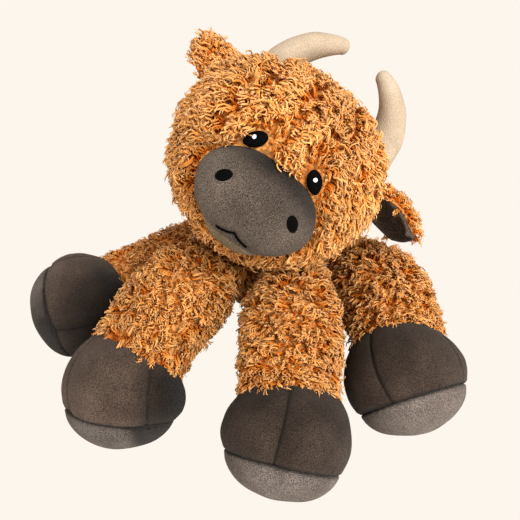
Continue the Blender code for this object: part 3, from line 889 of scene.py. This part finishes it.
def plant_head(skin):
    """The head's pile: short round the muzzle and the eyes, and combed forwards over the crown."""
    points, normals = skin_samples(skin, head_spacing, 31)
    local = to_head(points)
    past_muzzle = in_muzzle_share(local)
    past_eye, from_eye = past_nearer_eye(local)
    keep = (past_muzzle > 1.0) & (past_eye > 1.13)
    for side in (-1, 1):
        for centre, radius in horn_line(side):
            keep &= distances(local, centre) > radius * 0.97
    points, normals, local = points[keep], normals[keep], local[keep]
    past_muzzle, past_eye, from_eye = past_muzzle[keep], past_eye[keep], from_eye[keep]

    near_muzzle = np.clip(1 - (past_muzzle - 1) / 0.24, 0, 1)
    near_eye = np.clip(1.35 - (past_eye - 1) / 0.8, 0, 1)
    by_eye = np.clip(1.35 - (past_eye - 1) / 1.8, 0, 1)
    from_eye = unit(from_eye, 1e-9)
    short = np.maximum(near_muzzle * (local[:, 1] < 0), near_eye)
    crown = np.clip(local[:, 2:] / head_radius, 0, 1)
    down = np.array((0, 0.15, -1.0)) + np.array((0, -1.1, 0)) * crown ** 3
    outward = local.copy()
    outward[:, 1] = 0
    outward[:, 2] += muzzle_drop
    outward = unit(outward, 1e-6)
    off_eye = from_eye * (2.0 * near_eye + 1.5 * by_eye)[:, None]
    local_comb = down + outward * (0.4 + 1.6 * short[:, None]) + off_eye
    comb = local_comb @ np.array(head_at.to_3x3()).T
    wander = 1.25 - 0.85 * np.maximum(short, 0.5 * by_eye) - 0.55 * crown[:, 0] ** 2
    rng = np.random.default_rng(32)
    comb = comb + flow(points, 0.026, 33) * wander[:, None] + rng.normal(size=points.shape) * 0.38
    lengths = rng.uniform(0.82, 1.15, len(points)) * (1 - 0.36 * short - 0.10 * near_eye)
    hanging = np.clip(-local[:, 0] / head_radius, 0, 1)
    lengths *= 1 + 0.22 * hanging - 0.10 * np.clip(local[:, 2] / head_radius, 0, 1)
    lifts = 1 - 0.30 * short * (1 - near_eye) + 0.05 * near_eye
    # Painted light: the head's pile is drawn a little paler.
    plant("head", "head_fur", points, normals, comb, lengths, lifts, head_locks, painted_shade=0.05, seed=34)


def make_head():
    bm = ball((head_radius,) * 3, 96)
    for vert in bm.verts:
        vert.co.z = flat_crown(vert.co.z)
    skin = new_piece("head_cloth", bm, backing, head_at)
    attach(skin, "head")
    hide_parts("head_cover", "head_filling")
    plant_head(skin)


def on_muzzle(across, up, out):
    """A point out from the muzzle's front, and the direction that the cloth faces there."""
    spare = 1 - (across / muzzle_half.x) ** 2 - (up / muzzle_half.z) ** 2
    ahead = sqrt(max(spare, 0.02)) * muzzle_half.y
    facing = Vector((across / muzzle_half.x ** 2, -ahead / muzzle_half.y ** 2, up / muzzle_half.z ** 2))
    facing.normalize()
    return Vector((across, -muzzle_forward - ahead, up - muzzle_drop)) + facing * out, facing


def mouth_height(share):
    return mouth_above_edge - muzzle_half.z + mouth_peak * (1 - abs(share)) ** 2 * 1.6


def mouth_crease(point):
    """How deep the mouth's stitches draw the cloth in at a point of the muzzle."""
    share = point.x / mouth_half_width
    if abs(share) >= 1.25 or point.y >= -muzzle_forward:
        return 0.0
    gap = (point.z + muzzle_drop) - mouth_height(max(-1, min(1, share)))
    return mouth_crease_depth * dip(gap, mouth_crease_width) * rising(1.25 - abs(share), 0, 0.25)


def muzzle_painted_shade(point):
    """Painted shade along the muzzle's top, most at its left, painted light low down and at its right, with
    mottling.
    """
    across = point.x / muzzle_half.x
    up = (point.z + muzzle_drop) / muzzle_half.z
    rim = up + 0.22 * max(0, across)
    shaded = 0.55 * rising(up, -0.05, 0.62) + 0.90 * rising(rim, 0.42, 0.34)
    pale = rising(-across, 0.1, 0.6)
    pale += 0.8 * rising(across, 0.25, 0.5) * rising(-up, -0.25, 0.5)
    return 0.50 * pale - shaded + 0.35 * lumps(point, 0.016, 6)


def make_muzzle():
    bm = ball(muzzle_half, 128, (0, -muzzle_forward, -muzzle_drop))
    painted_shade_and_mottle = bm.verts.layers.float.new("painted_shade_and_mottle")
    for vert in bm.verts:
        out = (vert.co - Vector((0, -muzzle_forward, -muzzle_drop))).normalized()
        crease = mouth_crease(vert.co)
        # Painted shade: darker along the top and in the mouth's crease, paler low down.
        vert[painted_shade_and_mottle] = max(darkest_nap, muzzle_painted_shade(vert.co) - 260 * crease)
        vert.co += out * (lumps(vert.co, 0.022, 1) * muzzle_softness - crease)
    muzzle = new_piece("muzzle_cloth", bm, muzzle_nap, head_at)
    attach(muzzle, "head")
    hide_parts("muzzle_cover")


def make_chin():
    bm = ball(chin_half, 64, (0, -chin_forward, -chin_drop))
    chin = new_piece("chin_cloth", bm, chin_nap, head_at)
    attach(chin, "head")
    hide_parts("chin_panel")


def make_mouth():
    """One line of stitches, each thickest in its middle."""
    steps = 40
    places = []
    for share in shares(steps):
        across = 2 * share - 1
        places.append(on_muzzle(across * mouth_half_width, mouth_height(across), -mouth_sink)[0])
    rings = []
    for index, place in enumerate(places):
        along = places[min(index + 1, steps)] - places[max(index - 1, 0)]
        pucker = 1 + 0.25 * cos(index * pi / 2)
        thin = 0.35 if index in (0, steps) else 1
        rings.append(ring_at(place, along, mouth_thread * pucker * thin, Vector((0, 1, 0))))
    mouth = new_piece("mouth_thread", ring_skin(rings, 10), black_thread, head_at)
    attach(mouth, "head")
    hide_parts("mouth_stitch")


hands = ((-1, "right"), (1, "left"))


def stitched_patch(half_length, half_width, rise, point_share):
    """A raised patch of satin stitch, longer than wide, with one end drawn to a point."""
    bm = ball((half_length, half_width, rise), 48)
    for vert in bm.verts:
        along = vert.co.x / half_length
        if along > 0:
            vert.co.y *= 1 - point_share * along ** 1.5
    return bm


def make_features():
    for side, hand in hands:
        centre, facing = on_muzzle(side * nostril_spread, nostril_rise, nostril_outset)
        place = head_at @ frame_along(centre, facing) @ Matrix.Rotation(-side * nostril_slant, 4, "Z")
        oval = stitched_patch(nostril_half_length, nostril_half_width, nostril_thickness, point_share=0.15)
        nostril = new_piece("nostril_thread_" + hand, oval, black_thread, place)
        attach(nostril, "head")
        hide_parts("nostril_" + hand)

        place = head_at @ eye_place(side)
        almond = stitched_patch(eye_half_length, eye_half_width, eye_thickness, point_share=0.20)
        eye = new_piece("eye_thread_" + hand, almond, black_thread, place)
        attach(eye, "head")
        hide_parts("eye_" + hand)
        aside = glint_aside * (1 if side > 0 else 0.5)
        at = place.inverted() @ (head_at @ (on_head(side * eye_spread, eye_rise) + aside))
        glint_at = Vector((at.x, at.y, glint_outset))
        bead = ball(glint_half, 24, glint_at)
        glint = new_piece("eye_glint_" + hand, bead, white_thread, place)
        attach(glint, "head")
        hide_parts("eye_highlight_" + hand)


def make_horns():
    tip_steps = 12
    upright = Vector((0, 1, 0))
    for side, hand in hands:
        rings = []
        for share in shares(60):
            turn = horn_start - horn_sink + (horn_end - horn_start + horn_sink) * share
            centre = Vector(horn_middle(side, turn))
            along = Vector((-side * sin(turn), 0, cos(turn)))
            radius = swell(horn_base_radius, horn_middle_radius, horn_tip_radius, share)
            rings.append(ring_at(centre, along, radius, upright))
        for index in range(1, tip_steps):
            turn = index / tip_steps * pi / 2
            rings.append(ring_at(centre + along * radius * sin(turn), along, radius * cos(turn), upright))
        bm = ring_skin(rings, 64)
        painted_shade_and_mottle = bm.verts.layers.float.new("painted_shade_and_mottle")
        middle = Vector((horn_shift, horn_setback, horn_rise))
        for vert in bm.verts:
            inside = (horn_arc - (vert.co - middle).length) / horn_base_radius
            # Painted shade on the inner side of the horn's curve, with random mottling.
            vert[painted_shade_and_mottle] = -0.45 * max(0, inside) + 0.20 * lumps(vert.co, 0.010, 7)
            vert.co += Vector([lumps(vert.co, 0.014, seed) for seed in (2, 3, 4)]) * horn_softness
        horn = new_piece("horn_cloth_" + hand, bm, horn_nap, head_at)
        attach(horn, "head")
        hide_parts("horn_cover_" + hand, "horn_filling_" + hand)


# Ears

def sideways(side, rise, back):
    """A direction out to one side of the head, raised and turned towards its back, in degrees."""
    rise, back = radians(rise), radians(back)
    return Vector((side * cos(rise) * cos(back), sin(back), sin(rise) * cos(back)))


def ear_place(plan):
    """An ear's frame on the head: X runs out along it, and Z is the crest of its furry side."""
    out = sideways(plan["side"], plan["rise"], plan["set_back"])
    along = sideways(plan["side"], plan["lift"], plan["sweep"])
    crest = Vector((0, sin(radians(plan["lean_back"])), cos(radians(plan["lean_back"]))))
    crest = (crest - along * crest.dot(along)).normalized()
    turned = Matrix((along, crest.cross(along), crest)).transposed().to_4x4()
    return Matrix.Translation(out * (head_radius + ear_outset)) @ turned


def ear_leaf(inner, outer, flare=0.0):
    """One layer of the ear: cloth arched over its length, which may wrap further round towards its tip."""
    bm = bmesh.new()
    bmesh.ops.create_grid(bm, x_segments=36, y_segments=42, size=1)
    grown = bmesh.ops.extrude_face_region(bm, geom=list(bm.faces))["geom"]
    under = {item for item in grown if isinstance(item, bmesh.types.BMVert)}
    for vert in bm.verts:
        share = (vert.co.x + 1) / 2
        across = vert.co.y
        arch = swell(ear_root_arch, ear_mid_arch, ear_tip_arch, share)
        turn = across * (ear_arch_angle + flare * share)
        corner = 1 - abs(share * across) ** 3 / 5
        along = ear_start - ear_root_tuck + (ear_length - ear_start + ear_root_tuck) * share * corner
        out = arch + (inner if vert in under else outer)
        vert.co = Vector((along, out * sin(turn), out * cos(turn) + ear_middle))
    return bm


def make_ears():
    for hand, plan in ear_plans.items():
        side = plan["side"]
        place = head_at @ ear_place(plan)
        back = new_piece("ear_cloth_" + hand, ear_leaf(*ear_back_faces), backing, place)
        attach(back, "ear_" + hand)
        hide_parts("ear_back_" + hand)
        leaf = ear_leaf(*ear_lining_faces, ear_lining_flare)
        lining = new_piece("ear_inside_" + hand, leaf, lining_nap, place)
        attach(lining, "ear_" + hand)
        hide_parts("ear_lining_" + hand)
        points, normals = skin_samples(back, ear_spacing, 41 + side)
        turn = place.to_3x3()
        local = (points - np.array(place.translation)) @ np.array(turn)
        centre = np.array((0, 0, ear_middle))
        outward = np.sum((normals @ np.array(turn)) * (local - centre) * np.array((0, 1, 1)), axis=1)
        keep = outward > ear_edge
        points, normals = points[keep], normals[keep]
        rng = np.random.default_rng(43 + side)
        comb = np.array(turn.col[0]) * 0.25 + flow(points, 0.016, 44) + rng.normal(size=points.shape) * 0.6
        lengths = rng.uniform(0.62, 0.88, len(points))
        lifts = np.full(len(points), 1.05)
        # Painted light: the ears' pile is drawn paler.
        plant(
            "ear_" + hand, "ear_fur_" + hand, points, normals, comb, lengths, lifts, leg_locks,
            painted_shade=0.1, seed=45 + side,
        )


# Legs and hooves

def leg_skin(root, bend, hem, end, fullest):
    rings = []
    start = (bend - root).normalized()
    round_steps = 10
    radius = root_radius - pile_inset
    for index in range(1, round_steps + 1):
        turn = index / (round_steps + 1) * pi / 2
        rings.append(ring_at(root - start * radius * cos(turn), start, radius * sin(turn)))
    for share in shares(40):
        rest = 1 - share
        centre = root * rest * rest + bend * 2 * rest * share + hem * share * share
        rings.append(ring_at(centre, start * rest + end * share, leg_swell(fullest, share) - pile_inset))
    return ring_skin(rings, 56)


def seam_gap_share(turn, roll):
    """How far round the nearest of the four lengthwise seams is, in radians."""
    quarter = pi / 2
    return abs((turn - roll + quarter / 2) % quarter - quarter / 2)


def lay_hoof(bm, plan, hem, end, sole_way):
    """Bends a straight hoof from its leg's direction to its sole's, and flattens it on the floor."""
    painted_shade_and_mottle = bm.verts.layers.float.get("painted_shade_and_mottle")
    inward = -plan["side"]
    for vert in bm.verts:
        at = vert.co.z
        share = max(0.0, min(1.0, at / sole_seam_at))
        bent = share * share / 2
        centre = hem + (end * (share - bent) + sole_way * bent) * sole_seam_at
        centre = centre + sole_way * max(0.0, at - sole_seam_at)
        place = frame_along(centre, end * (1 - share) + sole_way * share)
        vert.co = place @ Vector((vert.co.x, vert.co.y, 0))
        # Painted shade on the side of the hoof that faces its neighbouring leg.
        inner = inward * (vert.co.x - centre.x) / hoof_radius
        darker = plan["neighbour_shade_depth"] * rising(inner, plan["neighbour_shade_start"], 0.6)
        vert[painted_shade_and_mottle] = max(darkest_nap, vert[painted_shade_and_mottle] - darker)
        if vert.co.z < floor_press_height:
            pressed = floor_press_height - floor_gap
            vert.co.z = floor_gap + pressed * exp((vert.co.z - floor_press_height) / pressed)


def hoof_upper(plan, seed):
    """The gored upper, still straight, with Z along it from its hem."""
    roll = radians(plan["gore_roll"]) + pi / 2
    places = [Matrix.Translation((0, 0, sole_seam_at * share)) for share in shares(56)]
    upper = ring_skin(places, hoof_sides)
    painted_shade_and_mottle = upper.verts.layers.float.new("painted_shade_and_mottle")
    for vert in upper.verts:
        share = vert.co.z / sole_seam_at
        turn = np.arctan2(vert.co.y, vert.co.x)
        radius = swell(hoof_hem_radius, hoof_radius, sole_seam_radius, share)
        gap = seam_gap_share(turn, roll) * radius
        puff = gore_puff * sin(pi * min(1, gap / (radius * pi / 4)) / 2)
        groove = gore_groove_depth * dip(gap, groove_width) + gore_valley_depth * dip(gap, valley_width)
        to_sole = (1 - share) * sole_seam_at
        tuck = upper_tuck_depth * dip(to_sole, groove_width) + tuck_valley_depth * dip(to_sole, valley_width)
        wave = sin(turn * puckers_round + 2 * lumps(vert.co, 0.01, seed))
        pucker = pucker_depth * dip(to_sole, pucker_reach) * wave
        at = Vector((vert.co.x * radius, vert.co.y * radius, vert.co.z))
        soft = lumps(at, 0.020, seed) * upper_softness + lumps(at, 0.009, seed + 4) * upper_fine_softness
        gore = gore_painted_shades[int((turn - roll + 4 * pi) // (pi / 2)) % 4]
        # Painted shade and light: darker or paler for each hoof and gore, dark in the seams and near the hem
        # under the pile, paler towards the sole, with random mottling.
        vert[painted_shade_and_mottle] = max(darkest_seam, (
            plan["hoof_painted_shade"] + gore + 0.30 * share ** 2 - 0.50 * (1 - share) ** 2
            + 0.30 * lumps(at, 0.012, seed + 2) - 1.00 * dip(gap, 0.0008) - 0.10 * dip(gap, 0.004)
            - 1.3 * dip(to_sole, 0.0010)
        ))
        radius += (puff - groove) * min(1, share * 3 + 0.3) - tuck + pucker + soft * share
        vert.co.x *= radius
        vert.co.y *= radius
    return upper


def hoof_sole(plan, seed):
    """The domed sole, still straight, placed like the upper."""
    rings = 36
    places = []
    for index in range(rings + 1):
        turn = index / (rings + 0.4) * pi / 2
        places.append(sized(Matrix.Translation((0, 0, sin(turn))), cos(turn)))
    sole = ring_skin(places, hoof_sides)
    painted_shade_and_mottle = sole.verts.layers.float.new("painted_shade_and_mottle")
    for vert in sole.verts:
        out = min(1.0, sqrt(vert.co.x ** 2 + vert.co.y ** 2))
        turn = np.arctan2(vert.co.y, vert.co.x)
        rise = sole_dome * max(0.0, 1 - out ** 2.4) ** 0.62
        tuck = sole_tuck_depth * dip(rise, groove_width) + tuck_valley_depth * dip(rise, valley_width)
        pucker = pucker_depth * dip(rise, pucker_reach) * sin(turn * puckers_round + 1.3)
        at = Vector((vert.co.x, vert.co.y, 0)) * sole_seam_radius
        soft = lumps(at, 0.022, seed + 1)
        cloud = lumps(at, 0.010, seed + 3)
        # Painted shade in the seam round the sole, and each sole painted darker or paler, with random
        # mottling.
        vert[painted_shade_and_mottle] = max(darkest_seam, plan["sole_painted_shade"] + 0.30 * cloud - 1.3 * dip(rise, 0.0016))
        radius = sole_seam_radius - tuck + pucker + soft * sole_side_softness * rise / sole_dome
        vert.co.x *= radius
        vert.co.y *= radius
        vert.co.z = sole_seam_at + sole_seam_gap + rise + soft * sole_end_softness * rise / sole_dome
    return sole


def hem_samples(skin, hem, end, seed):
    """Extra roots close along the hem, so that the pile hangs thickly over the hoof."""
    points, normals = skin_samples(skin, hem_spacing, seed + 3)
    past_hem = (points - np.array(hem)) @ np.array(end)
    near = (past_hem > -hem_band) & (past_hem < -hem_gap) & (np.abs(normals @ np.array(end)) < 0.7)
    return points[near], normals[near]


def make_legs():
    for index, (body, plan) in enumerate(leg_plans.items()):
        seed = 50 + 5 * index
        root, bend, hem, end, sole_way = leg_run(body)
        skin = new_piece(body + "_cloth", leg_skin(root, bend, hem, end, plan["fullest"]), backing)
        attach(skin, body)
        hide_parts(body + "_cover", body + "_filling")

        points, normals = skin_samples(skin, leg_spacing, seed)
        hem_points, hem_normals = hem_samples(skin, hem, end, seed)
        points, normals = np.concatenate((points, hem_points)), np.concatenate((normals, hem_normals))
        rng = np.random.default_rng(seed + 1)
        past_hem = (points - np.array(hem)) @ np.array(end)
        keep = (past_hem < -hem_gap) & (points[:, 2] > leg_pile_bottom)
        keep &= distances(points, bare_middle, bare_half) > 1
        keep &= distances(points, head_centre) > head_radius
        points, normals, past_hem = points[keep], normals[keep], past_hem[keep]
        comb = np.array(end) * 0.8 + np.array((0, 0, -0.30)) + flow(points, 0.020, 60) * 1.2
        comb = comb + rng.normal(size=points.shape) * 0.55
        hem_comb = np.clip(1 + past_hem / hem_comb_reach, 0, 1)[:, None]
        comb = comb * (1 - 0.6 * hem_comb) + np.array(end) * hem_comb * 1.2
        lengths = rng.uniform(0.80, 1.12, len(points)) * plan["pile_share"]
        lifts = np.clip((points[:, 2] - leg_flat_height) / floor_reach, 0.15, 1.0)
        # Painted shade: the legs' pile is drawn darker.
        plant(
            body, body + "_fur", points, normals, comb, lengths, lifts, leg_locks,
            painted_shade=-0.45, seed=seed + 2,
        )

        forms = (("hoof_upper", hoof_upper, hoof_nap), ("hoof_sole", hoof_sole, sole_nap))
        for part_name, form, material in forms:
            bm = form(plan, seed)
            lay_hoof(bm, plan, hem, end, sole_way)
            made = new_piece(body + "_" + part_name + "_cloth", bm, material)
            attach(made, body)
            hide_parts(body + "_" + part_name)


# Tail

def tail_skin(start, back, reach, radius_at):
    """A skin that runs back from start, with a radius for each share of its reach."""
    rings = [ring_at(start + back * reach * share, back, radius_at(share)) for share in shares(20)]
    return ring_skin(rings, 24)


def tail_radius_at(share):
    return (tail_radius - tail_pile_inset) * (1 + 0.3 * (1 - share) ** 3)


def tuft_radius_at(share):
    return max(swell(tail_radius, tuft_radius, tuft_tip_radius, share) - tail_pile_inset, tuft_least_radius)


def make_tail():
    back = Vector((0, cos(tail_fall), -sin(tail_fall)))
    skin = new_piece("tail_cloth", tail_skin(tail_root, back, tail_length, tail_radius_at), backing)
    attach(skin, "tail")
    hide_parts("tail_cover")
    start = tail_root + back * tail_length
    bm = tail_skin(start, back, tuft_length - tuft_pile_length, tuft_radius_at)
    tuft = new_piece("tuft_cloth", bm, backing)
    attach(tuft, "tail")
    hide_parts("tail_tuft")
    for name, part_skin, size, seed in (("tail_fur", skin, 0.60, 81), ("tuft_fur", tuft, 1.0, 84)):
        points, normals = skin_samples(part_skin, tail_spacing, seed)
        rng = np.random.default_rng(seed + 1)
        comb = np.array(back) * 1.4 + flow(points, 0.02, 82) * 0.6 + rng.normal(size=points.shape) * 0.3
        lengths = rng.uniform(0.85, 1.1, len(points)) * size
        lifts = np.full(len(points), 0.6)
        # Painted shade: the tail's pile is drawn a little darker.
        plant("tail", name, points, normals, comb, lengths, lifts, leg_locks, painted_shade=-0.1, seed=seed + 2)


# Floor, light and camera

def show_backdrop(tree, kind, usual, surface):
    """Lets the camera see the plain backdrop, while every other ray meets the usual shader."""
    seen = tree.nodes.new(kind)
    set_values(seen, {"Color": backdrop_colour, "Strength": 1.0})
    path = tree.nodes.new("ShaderNodeLightPath")
    mix = tree.nodes.new("ShaderNodeMixShader")
    tree.links.new(path.outputs["Is Camera Ray"], mix.inputs["Fac"])
    tree.links.new(usual, mix.inputs[1])
    tree.links.new(seen.outputs[0], mix.inputs[2])
    tree.links.new(mix.outputs["Shader"], surface)


def make_stage():
    bm = bmesh.new()
    bmesh.ops.create_grid(bm, x_segments=1, y_segments=1, size=6)
    bmesh.ops.translate(bm, vec=(0, 0, -floor_drop), verts=bm.verts)
    made, tree, shader = node_tree("pale_floor")
    set_values(shader, {"Base Color": (0.80, 0.76, 0.71, 1), "Roughness": 0.9})
    surface = tree.nodes["Material Output"].inputs["Surface"]
    show_backdrop(tree, "ShaderNodeEmission", shader.outputs["BSDF"], surface)
    floor = new_piece("floor", bm, made)

    world = bpy.data.worlds.new("studio")
    bpy.context.scene.world = world
    world.use_nodes = True
    tree = world.node_tree
    air = tree.nodes["Background"]
    set_values(air, {"Color": (1.0, 0.88, 0.74, 1), "Strength": 1.0})
    surface = tree.nodes["World Output"].inputs["Surface"]
    show_backdrop(tree, "ShaderNodeBackground", air.outputs["Background"], surface)


def make_light(name, place, target, size, power, colour):
    data = bpy.data.lights.new(name, "AREA")
    data.shape = "DISK"
    data.size = size
    data.energy = power
    data.color = colour
    made = bpy.data.objects.new(name, data)
    bpy.context.collection.objects.link(made)
    made.location = place
    made.rotation_mode = "QUATERNION"
    made.rotation_quaternion = (Vector(place) - Vector(target)).to_track_quat("Z", "Y")


def make_camera():
    data = bpy.data.cameras.new("camera")
    data.lens = camera_lens
    data.sensor_width = 36
    data.clip_start = 0.01
    data.clip_end = 20
    data.shift_x, data.shift_y = camera_shift
    made = bpy.data.objects.new("camera", data)
    bpy.context.collection.objects.link(made)
    level = cos(camera_rise)
    back = Vector((sin(camera_turn) * level, -cos(camera_turn) * level, sin(camera_rise)))
    made.location = camera_target + back * camera_distance
    made.rotation_mode = "QUATERNION"
    made.rotation_quaternion = back.to_track_quat("Z", "Y")
    bpy.context.scene.camera = made


# The scene

make_body()
make_head()
make_muzzle()
make_chin()
make_mouth()
make_features()
make_horns()
make_ears()
make_legs()
make_tail()
make_stage()
make_light(
    "key", place=(1.30, -1.05, 1.75), target=(0.0, -0.05, 0.10), size=1.30, power=84.0,
    colour=(1.0, 0.985, 0.96),
)
make_light(
    "fill", place=(-0.9, -0.8, 0.7), target=(0.0, -0.05, 0.08), size=0.9, power=3.0,
    colour=(0.95, 0.97, 1.0),
)
make_camera()
bpy.context.scene.view_settings.view_transform = "Standard"
